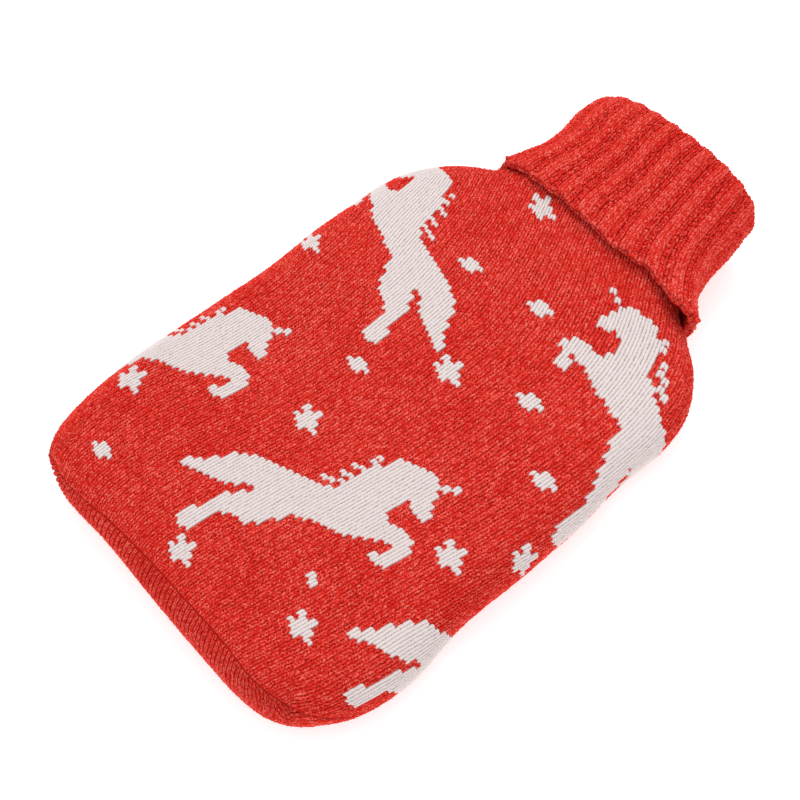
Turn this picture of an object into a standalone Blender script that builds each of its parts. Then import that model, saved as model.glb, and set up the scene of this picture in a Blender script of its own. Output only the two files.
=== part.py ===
"""Knitted cover for a two-litre hot water bottle, lying filled on its back.

Three knitted pieces, each a closed sheet with a real wall:
  front_panel  the patterned front, from the neck down to the closing seam above the base edge
  back_panel   the plain back, flat where it rests, wrapping up round the base to that seam
  collar       a ribbed roll-neck, sewn to the panels at the neck and turned down over itself

Metres, +Z up. The cover's long axis is Y with the neck at +Y, X runs across it, and the
origin is at the middle of the resting face.
"""
import bpy
import numpy as np

# --- driving sizes, in metres -------------------------------------------------------------
WALL = 0.0030            # knitted panel
RIB_WALL = 0.0040        # one layer of the ribbed collar
GAP = 0.0003             # between pieces that are sewn edge to edge

# Dyed yarn, in linear red, green and blue.
RED = (0.68, 0.045, 0.031)
FRONT_RED = (0.70, 0.048, 0.034)
ROUGHNESS = 0.9

# Right half of the cover's outline at half its thickness, from the base centre to the neck.
#          half width,     y
OUTLINE = [(0.0000, -0.1729),
           (0.0330, -0.1729),
           (0.0640, -0.1727),
           (0.0830, -0.1665),
           (0.0945, -0.1532),
           (0.1002, -0.1362),
           (0.1022, -0.1137),
           (0.1010, -0.0827),
           (0.0998, -0.0347),
           (0.1012, -0.0007),
           (0.1004, 0.0273),
           (0.1004, 0.0473),
           (0.0966, 0.0643),
           (0.0868, 0.0803),
           (0.0744, 0.0908),
           (0.0630, 0.0978),
           (0.0556, 0.1063),
           (0.0512, 0.1148),
           (0.0500, 0.1203)]
CORNER = 2               # row of OUTLINE where the straight base edge ends
NECK_Y = OUTLINE[-1][1]
WIDEST = max(OUTLINE)

# How the filled shape stands over the surface, along the cover's length.
#          y,      edge radius, lift off the surface
PROFILE = [(-0.1729, 0.0176, 0.0000),
           (0.0353, 0.0184, 0.0000),
           (0.0613, 0.0187, 0.0000),
           (0.0793, 0.0188, 0.0012),
           (0.0933, 0.0187, 0.0046),
           (0.1053, 0.0192, 0.0064),
           (0.1203, 0.0201, 0.0066)]
CROWN = 0.0036           # rise of the front's middle over its edges
NECK_CROWN = 0.0004
CROWN_BASE_Y = -0.095    # full from here to
CROWN_NECK_Y = 0.055     # here

# Height of the seam round the outline: angle up (+) or down (-) from the outline, against
# the distance along it from the base centre, left negative.
#        distance, seam angle in degrees
SEAM = [(-0.160, -28.0),
        (-0.130, -11.0),
        (-0.112, 5.0),
        (-0.098, 18.0),
        (-0.084, 28.0),
        (-0.060, 36.0),
        (-0.045, 41.0),
        (-0.030, 47.0),
        (-0.010, 54.0),
        (0.010, 57.0),
        (0.030, 59.0),
        (0.045, 58.0),
        (0.060, 52.0),
        (0.078, 46.0),
        (0.090, 32.0),
        (0.100, 14.0),
        (0.114, 0.0),
        (0.135, -16.0),
        (0.165, -28.0)]

# Collar, outer layer: middle of its wall round an oval section, the oval's centre, and its
# exponent (2 is an ellipse, and more is squarer).
#               y,   half width, half height, centre x, centre z, exponent
TURNED_DOWN = [(0.0903, 0.0723, 0.0240, 0.0027, 0.0268, 3.5),
               (0.0983, 0.0658, 0.0240, 0.0014, 0.0268, 3.5),
               (0.1063, 0.0610, 0.0240, -0.0004, 0.0268, 3.5),
               (0.1143, 0.0572, 0.0242, -0.0010, 0.0268, 3.3),
               (0.1233, 0.0546, 0.0242, -0.0012, 0.0266, 3.0),
               (0.1323, 0.0534, 0.0242, -0.0020, 0.0266, 2.7),
               (0.1423, 0.0538, 0.0246, -0.0030, 0.0270, 2.5),
               (0.1523, 0.0542, 0.0252, -0.0046, 0.0276, 2.4),
               (0.1613, 0.0530, 0.0252, -0.0054, 0.0278, 2.4)]
# Collar, inner tube, in the same columns.
TUBE = [(NECK_Y + GAP, 0.0478, 0.0186, 0.0000, 0.0266, 3.0),
        (0.1333, 0.0468, 0.0184, -0.0016, 0.0266, 2.7),
        (0.1473, 0.0464, 0.0186, -0.0032, 0.0272, 2.5),
        (0.1613, 0.0460, 0.0190, -0.0054, 0.0278, 2.4)]
# The turned-down hem: angle round the section from +X over the top, and how far it reaches.
#      degrees, y
HEM = [(-90, 0.1013),
       (-30, 0.1008),
       (0, 0.0983),
       (40, 0.0933),
       (75, 0.0958),
       (105, 0.0968),
       (140, 0.0998),
       (180, 0.1043),
       (225, 0.1033),
       (270, 0.1013)]
FOLD_RISE = 0.0102       # the fold's top over the last section, at mid wall
FOLD_ROUND = 0.8         # power of the fold's rise: 1 is an ellipse, and less is squarer
RIBS = 22                # two-by-two ribs round the collar
RIB_DEPTH = 0.0008       # each way from the wall's face
HEM_WAVE = 0.0007        # unevenness of the hem
HEM_LIFT = 0.0036        # the hem stands off the shoulder at +X,
HEM_LIFT_AT = 0.62       # this far up round the section, in radians,
HEM_LIFT_WIDTH = 0.45    # over this much of it

# How far the filled cover bulges past its mean outline, by distance from the base centre.
#          distance, outwards
UNEVEN = [(-0.330, 0.0005),
          (-0.300, 0.0004),
          (-0.275, 0.0010),
          (-0.240, -0.0004),
          (-0.200, 0.0002),
          (-0.165, 0.0000),
          (-0.135, -0.0010),
          (-0.112, -0.0006),
          (-0.090, 0.0022),
          (-0.074, 0.0008),
          (-0.040, -0.0008),
          (0.000, 0.0002),
          (0.035, 0.0006),
          (0.070, -0.0006),
          (0.096, -0.0020),
          (0.118, 0.0000),
          (0.141, 0.0008),
          (0.175, -0.0012),
          (0.212, 0.0014),
          (0.240, 0.0012),
          (0.266, -0.0010),
          (0.300, 0.0003),
          (0.332, 0.0010),
          (0.360, 0.0000)]

# --- mesh resolution ----------------------------------------------------------------------
SIDE_STEPS = 24          # along each side and its base corner
BASE_STEPS = 14          # along the straight base edge
FRONT_ROWS = 6           # over the rounded edge of the front
BACK_ROWS = 7
RIB_STEPS = 6            # round one rib
FOLD_ROWS = 4            # over the fold
HEM_ROWS = 8             # from the fold down to the hem
CURVE_STEPS = 24         # between two rows of a table, where a smooth curve joins them
DIRECTION_STEP = 0.0008  # either side of a point of the outline, to find its direction
TURN_LENGTH = 0.030      # length that one radian of the outline's turning counts for
SHARP_ANGLE = 50         # degrees between faces, over which an edge isn't smoothed


def clear_scene():
    for obj in list(bpy.data.objects):
        bpy.data.objects.remove(obj, do_unlink=True)


def knit_material(name, colour):
    """Matt dyed yarn: a Principled BSDF with no metal."""
    material = bpy.data.materials.new(name)
    material.use_nodes = True
    shader = material.node_tree.nodes["Principled BSDF"]
    shader.inputs["Base Color"].default_value = (*colour, 1.0)
    shader.inputs["Roughness"].default_value = ROUGHNESS
    shader.inputs["Metallic"].default_value = 0.0
    return material


def add_piece(name, points, faces, material):
    mesh = bpy.data.meshes.new(name)
    mesh.from_pydata(points.tolist(), [], faces)
    mesh.validate()
    mesh.shade_smooth()
    mesh.set_sharp_from_angle(angle=np.radians(SHARP_ANGLE))
    mesh.materials.append(material)
    piece = bpy.data.objects.new(name, mesh)
    bpy.context.scene.collection.objects.link(piece)
    return piece


def smooth_curve(rows):
    """Catmull-Rom curve through the rows, with CURVE_STEPS steps between each two."""
    rows = np.asarray(rows, float)
    ends = [2 * rows[:1] - rows[1:2], rows, 2 * rows[-1:] - rows[-2:-1]]
    knots = np.vstack(ends)
    share = np.linspace(0, 1, CURVE_STEPS, endpoint=False)[None, :, None]
    a, b, c, d = (knots[i:len(knots) - 3 + i, None, :] for i in range(4))
    curve = 0.5 * (2 * b + (c - a) * share + (2 * a - 5 * b + 4 * c - d) * share ** 2
                   + (3 * b - a - 3 * c + d) * share ** 3)
    return np.vstack([curve.reshape(-1, rows.shape[1]), rows[-1:]])


def arc_length(curve):
    return np.concatenate([[0], np.cumsum(np.linalg.norm(np.diff(curve, axis=0), axis=1))])


def at_distance(curve, along, distances):
    return np.stack([np.interp(distances, along, curve[:, k]) for k in range(curve.shape[1])], 1)


def outline_stations():
    """Points, outward normals and signed distances round the outline, neck left to neck right.

    The left side comes first, then the straight base edge, then the right side. Each side
    has SIDE_STEPS steps from the neck to the base corner's end, shorter where it turns.
    """
    half = smooth_curve(OUTLINE)
    half[:, 0] = np.maximum(half[:, 0], 0)
    along = arc_length(half)
    corner = along[CORNER * CURVE_STEPS]
    course = np.diff(half, axis=0)
    turning = np.abs(np.diff(np.unwrap(np.arctan2(course[:, 1], course[:, 0]))))
    weight = along + TURN_LENGTH * np.concatenate([[0, 0], np.cumsum(turning)])
    marks = np.linspace(np.interp(corner, along, weight), weight[-1], SIDE_STEPS + 1)
    side = np.interp(marks, weight, along)
    base = np.linspace(-corner, corner, BASE_STEPS + 1)[1:-1]
    signed = np.concatenate([-side[::-1], base, side])
    here = at_distance(half, along, np.abs(signed))
    ahead = at_distance(half, along, np.minimum(np.abs(signed) + DIRECTION_STEP, along[-1]))
    behind = at_distance(half, along, np.maximum(np.abs(signed) - DIRECTION_STEP, 0))
    tangent = ahead - behind
    tangent /= np.linalg.norm(tangent, axis=1)[:, None]
    mirror = np.where(signed < 0, -1.0, 1.0)
    points = np.stack([here[:, 0] * mirror, here[:, 1]], 1)
    normals = np.stack([tangent[:, 1] * mirror, -tangent[:, 0]], 1)
    normals[[0, -1]] = [(-1.0, 0.0), (1.0, 0.0)]
    bulge = smooth_curve(UNEVEN)
    points += normals * np.interp(signed, bulge[:, 0], bulge[:, 1])[:, None]
    return points, normals, signed


def ease(low, high, value):
    """0 below low, 1 above high, and level at both ends."""
    share = np.clip((value - low) / (high - low), 0, 1)
    return share * share * (3 - 2 * share)


def crown_height(x, y, half_width):
    """Rise of the front: full in the middle, level with no slope at the outline."""
    across = (1 - np.clip(x / half_width, -1, 1) ** 2) ** 2
    fill = ease(OUTLINE[0][1], CROWN_BASE_Y, y)
    neck = ease(CROWN_NECK_Y, NECK_Y, y)
    return across * (CROWN * fill * (1 - neck) + NECK_CROWN * neck)


def panel_side(front, inset, rows):
    """One face of a panel: its points in a rounded belt and a ladder across the middle.

    The belt runs from the seam over the rounded edge, in rows + 1 rows of points round the
    outline. The ladder fills the rest, from the left side's belt to the right side's.
    inset is the depth under the cover's outer face.
    """
    points, normals, signed = outline_stations()
    profile = np.asarray(PROFILE)
    radius = np.interp(points[:, 1], profile[:, 0], profile[:, 1])
    lift = np.interp(points[:, 1], profile[:, 0], profile[:, 2])
    seam = np.asarray(SEAM)
    edge = np.radians(np.interp(signed, seam[:, 0], seam[:, 1]))
    if not front:
        edge = edge - GAP / (radius - WALL)
    half_width = np.where(points[:, 1] < WIDEST[1], WIDEST[0], np.abs(points[:, 0]))
    sign = 1 if front else -1
    turn = edge[None, :] + np.linspace(0, 1, rows + 1)[:, None] * (sign * np.pi / 2 - edge)[None, :]
    small = radius - inset
    reach = radius[None, :] - small[None, :] * np.cos(turn)
    belt_xy = points[None, :, :] - normals[None, :, :] * reach[:, :, None]
    belt_z = (lift + radius)[None, :] + small[None, :] * np.sin(turn)
    rise = np.clip(np.sin(turn), 0, 1) if front else np.zeros_like(turn)
    belt_z = belt_z + rise * crown_height(belt_xy[..., 0], belt_xy[..., 1], half_width[None, :])
    belt = np.dstack([belt_xy, belt_z])

    inner = belt[-1]
    left = inner[:SIDE_STEPS]
    right = inner[::-1][:SIDE_STEPS]
    share = np.linspace(0, 1, BASE_STEPS + 1)[None, 1:-1, None]
    ladder = left[:, None, :] * (1 - share) + right[:, None, :] * share
    flat = (lift + radius + sign * small)[:SIDE_STEPS]
    if front:
        ladder[..., 2] = flat[:, None] + crown_height(ladder[..., 0], ladder[..., 1],
                                                      half_width[:SIDE_STEPS, None])
    return belt, ladder


def panel_grid(rows):
    """Faces over one side of a panel, and the loop of point numbers round its edge."""
    across = 2 * (SIDE_STEPS + 1) + BASE_STEPS - 1
    belt = np.arange((rows + 1) * across).reshape(rows + 1, across)
    rungs = SIDE_STEPS * (BASE_STEPS - 1)
    inside = belt.size + np.arange(rungs).reshape(SIDE_STEPS, BASE_STEPS - 1)
    left = belt[-1, :SIDE_STEPS]
    right = belt[-1, ::-1][:SIDE_STEPS]
    ladder = np.hstack([left[:, None], inside, right[:, None]])
    base = belt[-1, SIDE_STEPS:SIDE_STEPS + BASE_STEPS + 1]
    ladder = np.vstack([ladder, base])

    def quads(grid):
        return np.stack([grid[:-1, :-1], grid[:-1, 1:], grid[1:, 1:], grid[1:, :-1]], -1)

    # The belt runs left, base, right and inwards; the ladder runs down and to the right.
    faces = np.vstack([quads(belt).reshape(-1, 4), quads(ladder)[..., ::-1].reshape(-1, 4)])
    edge = np.concatenate([belt[0], belt[1:, -1], ladder[0, ::-1][1:], belt[1:-1, 0][::-1]])
    return faces, edge, belt.size + rungs


def make_panel(name, front, material):
    """A panel of even wall: its outer face, its inner face and the edge between them."""
    rows = FRONT_ROWS if front else BACK_ROWS
    faces, edge, count = panel_grid(rows)
    skins = []
    for inset in (0.0, WALL):
        belt, ladder = panel_side(front, inset, rows)
        skins.append(np.vstack([belt.reshape(-1, 3), ladder.reshape(-1, 3)]))
    turn = 1 if front else -1
    outer = faces[:, ::turn]
    inner = faces[:, ::-turn] + count
    after = np.roll(edge, -1)
    rim = np.stack([edge, edge + count, after + count, after], 1)[:, ::turn]
    points = np.vstack(skins)
    return add_piece(name, points, np.vstack([outer, inner, rim]).tolist(), material)


def oval(section, angle):
    """Point of the oval cross-section, by the columns of TURNED_DOWN."""
    cosine, sine, power = np.cos(angle), np.sin(angle), 2 / section[..., 5]
    x = section[..., 3] + section[..., 1] * np.sign(cosine) * np.abs(cosine) ** power
    z = section[..., 4] + section[..., 2] * np.sign(sine) * np.abs(sine) ** power
    return np.stack([x, section[..., 0], z], -1)


def even_angles(section, count):
    """Angles that part the oval's edge into equal lengths."""
    fine = np.linspace(0, 2 * np.pi, 1441)
    ring = oval(np.broadcast_to(section, (fine.size, section.size)), fine)
    along = arc_length(ring)
    return np.interp(np.linspace(0, along[-1], count, endpoint=False), along, fine)


def collar_sections(angle):
    """Sections of the wall's middle for each angle: up the tube, over the fold, down outside."""
    outer = smooth_curve(TURNED_DOWN)
    top = outer[-1]
    tube = np.repeat(np.asarray(TUBE)[:, None, :], angle.size, axis=1)

    turn = (np.arange(1, FOLD_ROWS + 1) * np.pi / (FOLD_ROWS + 1))[:, None]
    share = (1 - np.cos(turn)) / 2
    fold = tube[-1, 0] * (1 - share) + top * share
    fold[:, :1] = top[0] + FOLD_RISE * np.sin(turn) ** FOLD_ROUND
    fold = np.repeat(fold[:, None, :], angle.size, axis=1)

    reach = smooth_curve(HEM)
    degrees = (np.degrees(angle) + 90) % 360 - 90
    hem = np.interp(degrees, reach[:, 0], reach[:, 1])
    hem = hem + HEM_WAVE * (np.sin(7 * angle + 0.7) + np.cos(11 * angle))
    share = np.linspace(0, 1, HEM_ROWS + 1)[:, None]
    y = top[0] + (hem[None, :] - top[0]) * share
    down = np.stack([np.interp(y, outer[:, 0], outer[:, k]) for k in range(outer.shape[1])], -1)
    return np.concatenate([tube, fold, down])


def make_collar(material):
    """The collar's wall carried round the oval as one closed hairpin, with its ribs raised."""
    angle = even_angles(np.asarray(TURNED_DOWN[5]), RIBS * RIB_STEPS)
    sections = collar_sections(angle)
    spread = np.stack([even_angles(row.mean(axis=0), angle.size) for row in sections])
    rows = oval(sections, spread)
    turned = len(TUBE) + FOLD_ROWS
    low = np.clip((np.arange(len(rows)) - turned) / HEM_ROWS * 2 - 1, 0, 1)
    lift = HEM_LIFT * low[:, None] * np.exp(-((angle - HEM_LIFT_AT) / HEM_LIFT_WIDTH) ** 2)
    rows[..., 0] += lift * np.cos(HEM_LIFT_AT)
    rows[..., 2] += lift * np.sin(HEM_LIFT_AT)

    along = np.gradient(rows, axis=0)
    around = np.roll(rows, -1, axis=1) - np.roll(rows, 1, axis=1)
    face = np.cross(around, along)
    face /= np.linalg.norm(face, axis=2)[..., None]
    rib = RIB_DEPTH * np.cos(np.arange(angle.size) * 2 * np.pi / RIB_STEPS)
    raised = np.clip((np.arange(len(rows)) - len(TUBE) + 1) / FOLD_ROWS, 0, 1)
    outer = rows + face * (RIB_WALL / 2 + rib[None, :] * raised[:, None])[..., None]
    inner = rows - face * (RIB_WALL / 2)
    outer[0, :, 1] = inner[0, :, 1] = NECK_Y + GAP
    outer[..., 2] = np.maximum(outer[..., 2], 0.0)

    loop = np.concatenate([outer, inner[::-1]])
    number = np.arange(loop.shape[0] * loop.shape[1]).reshape(loop.shape[:2])
    below, beside = np.roll(number, -1, axis=0), np.roll(number, -1, axis=1)
    corner = np.roll(below, -1, axis=1)
    faces = np.stack([number, beside, corner, below], -1).reshape(-1, 4)
    return add_piece("collar", loop.reshape(-1, 3), faces.tolist(), material)


clear_scene()
make_panel("front_panel", True, knit_material("patterned_knit", FRONT_RED))
make_panel("back_panel", False, knit_material("plain_knit", RED))
make_collar(knit_material("ribbed_knit", RED))
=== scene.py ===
"""Looks of a knitted hot water bottle cover, lying filled on its back, stitch by stitch.

Metres, +Z up. The long axis is Y with the neck at +Y, and X runs across.
"""

import bpy
import numpy as np
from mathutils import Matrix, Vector


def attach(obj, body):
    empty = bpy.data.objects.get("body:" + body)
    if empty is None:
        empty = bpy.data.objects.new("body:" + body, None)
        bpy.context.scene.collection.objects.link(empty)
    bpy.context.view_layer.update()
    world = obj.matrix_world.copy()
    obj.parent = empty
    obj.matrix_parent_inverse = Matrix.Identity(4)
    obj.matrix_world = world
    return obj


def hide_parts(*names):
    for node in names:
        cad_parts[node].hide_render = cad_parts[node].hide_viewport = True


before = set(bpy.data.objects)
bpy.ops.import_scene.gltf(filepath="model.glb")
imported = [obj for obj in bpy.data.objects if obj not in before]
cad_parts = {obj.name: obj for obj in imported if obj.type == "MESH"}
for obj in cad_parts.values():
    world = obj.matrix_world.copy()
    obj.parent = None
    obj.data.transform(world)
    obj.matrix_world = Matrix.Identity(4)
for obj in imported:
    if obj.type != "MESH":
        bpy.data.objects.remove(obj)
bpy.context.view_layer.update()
scene = bpy.context.scene
rng = np.random.default_rng(11)


# --- Camera, floor and light ----------------------------------------------------------------
# A product shot on white paper: the camera looks down at 59 degrees from the base's right, and
# the light comes from all round, a little stronger from high on the left.
AIM = Vector((-0.00086, -0.02682, 0.018))
DISTANCE = 0.5953
AZIMUTH, ELEVATION = np.radians(42.454), np.radians(59.15)
FIELD_OF_VIEW = np.radians(35.3)


def linear(code):
    """sRGB hex to linear RGBA: value / 12.92 below 0.04045, else ((value + 0.055) / 1.055)^2.4."""
    value = np.array([int(code[k:k + 2], 16) for k in (1, 3, 5)]) / 255
    value = np.where(value < 0.04045, value / 12.92, ((value + 0.055) / 1.055) ** 2.4)
    return (*value.tolist(), 1.0)


def node(tree, kind, settings=None, links=None):
    """Adds one shader node. settings are its properties and input values; links feed its inputs."""
    new = tree.nodes.new(kind)
    for key, value in (settings or {}).items():
        if isinstance(key, str) and hasattr(new, key):
            setattr(new, key, value)
        else:
            new.inputs[key].default_value = value
    for key, source in (links or {}).items():
        tree.links.new(source, new.inputs[key])
    return new


def new_material(name):
    """A new material with only its output node: returns the material, its nodes and the output."""
    material = bpy.data.materials.new(name)
    material.use_nodes = True
    tree = material.node_tree
    tree.nodes.clear()
    return material, tree, tree.nodes.new("ShaderNodeOutputMaterial")


def grid_faces(number, around=False):
    """Four-sided faces between the rows and columns of a grid of point numbers."""
    if around:
        number = np.concatenate([number, number[:, :1]], axis=1)
    corners = [number[:-1, :-1], number[:-1, 1:], number[1:, 1:], number[1:, :-1]]
    return np.stack(corners, -1).reshape(-1, 4)


def piece(name, points, faces, material):
    """A smooth-shaded mesh object at the origin, from points in metres and lists of faces."""
    mesh = bpy.data.meshes.new(name)
    mesh.from_pydata(np.asarray(points).reshape(-1, 3).tolist(), [], faces)
    mesh.validate()
    mesh.shade_smooth()
    mesh.materials.append(material)
    made = bpy.data.objects.new(name, mesh)
    scene.collection.objects.link(made)
    return made


camera = bpy.data.objects.new("camera", bpy.data.cameras.new("camera"))
camera.data.angle = FIELD_OF_VIEW
camera.data.clip_start = 0.05
camera.location = AIM + DISTANCE * Vector((np.cos(AZIMUTH) * np.cos(ELEVATION),
                                           -np.sin(AZIMUTH) * np.cos(ELEVATION), np.sin(ELEVATION)))
camera.rotation_euler = (AIM - camera.location).to_track_quat("-Z", "Y").to_euler()
scene.collection.objects.link(camera)
scene.camera = camera

# Matt white paper, which comes out white under this light.
paper, tree, out = new_material("white_paper")
shader = node(tree, "ShaderNodeBsdfPrincipled",
              {"Base Color": linear("#fbfafa"), "Roughness": 0.9, "Specular IOR Level": 0.1,
               "Emission Color": linear("#ffffff"), "Emission Strength": 0.42})
tree.links.new(shader.outputs[0], out.inputs["Surface"])
FLOOR_HALF, FLOOR_UNDER = 3.0, 0.0002      # half its side, and how far it lies under the cover
side = np.linspace(-FLOOR_HALF, FLOOR_HALF, 3)
floor_points = np.stack([*np.meshgrid(side, side), np.full((3, 3), -FLOOR_UNDER)], -1)
floor = piece("floor", floor_points, grid_faces(np.arange(9).reshape(3, 3)).tolist(), paper)

world = bpy.data.worlds.new("studio")
scene.world = world
world.use_nodes = True
world.node_tree.nodes["Background"].inputs["Color"].default_value = linear("#ffffff")
world.node_tree.nodes["Background"].inputs["Strength"].default_value = 0.80
#         name,      from (x, y, z),       size, watts
LAMPS = [("key", (-0.75, 0.55, 1.30), 0.9, 10.6),
         ("fill", (0.90, -0.80, 1.10), 1.2, 4.2)]
for name, place, size, power in LAMPS:
    lamp = bpy.data.objects.new(name, bpy.data.lights.new(name, "AREA"))
    lamp.data.energy, lamp.data.size = power, size
    lamp.location = place
    lamp.rotation_euler = (AIM - lamp.location).to_track_quat("-Z", "Y").to_euler()
    scene.collection.objects.link(lamp)
scene.view_settings.view_transform = "Standard"


# --- Front panel: the fabric's ground ---------------------------------------------------------
# One piece of two-colour knit in thick wool, stretched over the filled bottle and round its
# edges. Its ground is the dark inside of the loops, a thin sheet that the stitches stand on.
# Right half of the outline at half its thickness, from the base centre to the neck.
#          half width,     y
OUTLINE = [(0.0000, -0.1729), (0.0330, -0.1729), (0.0640, -0.1727), (0.0830, -0.1665),
           (0.0945, -0.1532), (0.1002, -0.1362), (0.1022, -0.1137), (0.1010, -0.0827),
           (0.0998, -0.0347), (0.1012, -0.0007), (0.1004, 0.0273), (0.1004, 0.0473),
           (0.0966, 0.0643), (0.0868, 0.0803), (0.0744, 0.0908), (0.0630, 0.0978),
           (0.0556, 0.1063), (0.0512, 0.1148), (0.0500, 0.1203)]
CORNER = 2                 # the row where the base turns into the sides
NECK_Y = OUTLINE[-1][1]
WIDEST = max(OUTLINE)
#            y,    edge radius, lift off the surface
PROFILE = [(-0.1729, 0.0176, 0.0000), (0.0353, 0.0184, 0.0000), (0.0613, 0.0187, 0.0000),
           (0.0793, 0.0188, 0.0012), (0.0933, 0.0187, 0.0046), (0.1053, 0.0192, 0.0064),
           (0.1203, 0.0201, 0.0066)]
CROWN, NECK_CROWN = 0.0036, 0.0004         # rise of the front's middle, on the body and the neck
CROWN_BASE_Y, CROWN_NECK_Y = -0.095, 0.055 # where it is full from the base, and where it fades
# The closing seam: distance round the outline from the base centre, degrees above the outline.
SEAM = [(-0.160, -28.0), (-0.130, -11.0), (-0.112, 5.0), (-0.098, 18.0), (-0.084, 28.0),
        (-0.060, 36.0), (-0.045, 41.0), (-0.030, 47.0), (-0.010, 54.0), (0.010, 57.0),
        (0.030, 59.0), (0.045, 58.0), (0.060, 52.0), (0.078, 46.0), (0.090, 32.0),
        (0.100, 14.0), (0.114, 0.0), (0.135, -16.0), (0.165, -28.0)]
# How far the filled cover bulges past its mean outline, by distance from the base centre.
UNEVEN = [(-0.330, 0.0005), (-0.300, 0.0004), (-0.275, 0.0010), (-0.240, -0.0004),
          (-0.200, 0.0002), (-0.165, 0.0000), (-0.135, -0.0010), (-0.112, -0.0006),
          (-0.090, 0.0022), (-0.074, 0.0008), (-0.040, -0.0008), (0.000, 0.0002),
          (0.035, 0.0006), (0.070, -0.0006), (0.096, -0.0020), (0.118, 0.0000),
          (0.141, 0.0008), (0.175, -0.0012), (0.212, 0.0014), (0.240, 0.0012),
          (0.266, -0.0010), (0.300, 0.0003), (0.332, 0.0010), (0.360, 0.0000)]
GROUND_DEPTH = 0.00055     # of the ground's face under the cover's outer face
WALL = 0.0030              # the cloth's thickness
SEAM_GAP = 0.0003          # between the two panels, and between them and the collar
SEAM_MARGIN = 0.0002       # between the last stitches and the seam
CURVE_STEPS = 24           # of a curve, between two rows of its table


def smooth_curve(rows, steps=CURVE_STEPS):
    """Catmull-Rom curve through the rows: each span is the cubic of its four nearest rows."""
    rows = np.asarray(rows, float)
    knots = np.vstack([2 * rows[:1] - rows[1:2], rows, 2 * rows[-1:] - rows[-2:-1]])
    share = np.linspace(0, 1, steps, endpoint=False)[None, :, None]
    a, b, c, d = (knots[i:len(knots) - 3 + i, None, :] for i in range(4))
    curve = 0.5 * (2 * b + (c - a) * share + (2 * a - 5 * b + 4 * c - d) * share ** 2
                   + (3 * b - a - 3 * c + d) * share ** 3)
    return np.vstack([curve.reshape(-1, rows.shape[1]), rows[-1:]])


def arc_length(curve):
    """Distance along a curve's points: the running sum of its steps."""
    return np.concatenate([[0], np.cumsum(np.linalg.norm(np.diff(curve, axis=0), axis=1))])


def ease(low, high, value):
    """3 t^2 - 2 t^3 with t from 0 at low to 1 at high."""
    share = np.clip((value - low) / (high - low), 0, 1)
    return share * share * (3 - 2 * share)


half = smooth_curve(OUTLINE)
half[:, 0] = np.maximum(half[:, 0], 0)
half_along = arc_length(half)
corner_at = half_along[CORNER * CURVE_STEPS]
reach_at = half_along[-1]


def stations(signed):
    """Outline at signed distances from the base centre: points, outward normals, edge radius,
    lift, seam angle and half width. The normal is the direction over 1.6 mm, turned by 90."""
    at = [np.stack([np.interp(np.clip(np.abs(signed) + step, 0, reach_at), half_along, half[:, k])
                    for k in (0, 1)], 1) for step in (0, 0.0008, -0.0008)]
    tangent = at[1] - at[2]
    tangent /= np.linalg.norm(tangent, axis=1)[:, None]
    mirror = np.where(signed < 0, -1.0, 1.0)
    points = np.stack([at[0][:, 0] * mirror, at[0][:, 1]], 1)
    normals = np.stack([tangent[:, 1] * mirror, -tangent[:, 0]], 1)
    bulge, seam, profile = smooth_curve(UNEVEN), np.asarray(SEAM), np.asarray(PROFILE)
    points += normals * np.interp(signed, bulge[:, 0], bulge[:, 1])[:, None]
    radius, lift = (np.interp(points[:, 1], profile[:, 0], profile[:, k]) for k in (1, 2))
    angle = np.radians(np.interp(signed, seam[:, 0], seam[:, 1]))
    width = np.where(points[:, 1] < WIDEST[1], WIDEST[0], np.abs(points[:, 0]))
    return points, normals, radius, lift, angle, width


def crown_height(x, y, width):
    """Rise of the front's middle: (1 - (x / width)^2)^2, eased in from the base and out at the neck."""
    across = (1 - np.clip(x / width, -1, 1) ** 2) ** 2
    neck = ease(CROWN_NECK_Y, NECK_Y, y)
    return across * (CROWN * ease(OUTLINE[0][1], CROWN_BASE_Y, y) * (1 - neck) + NECK_CROWN * neck)


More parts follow.
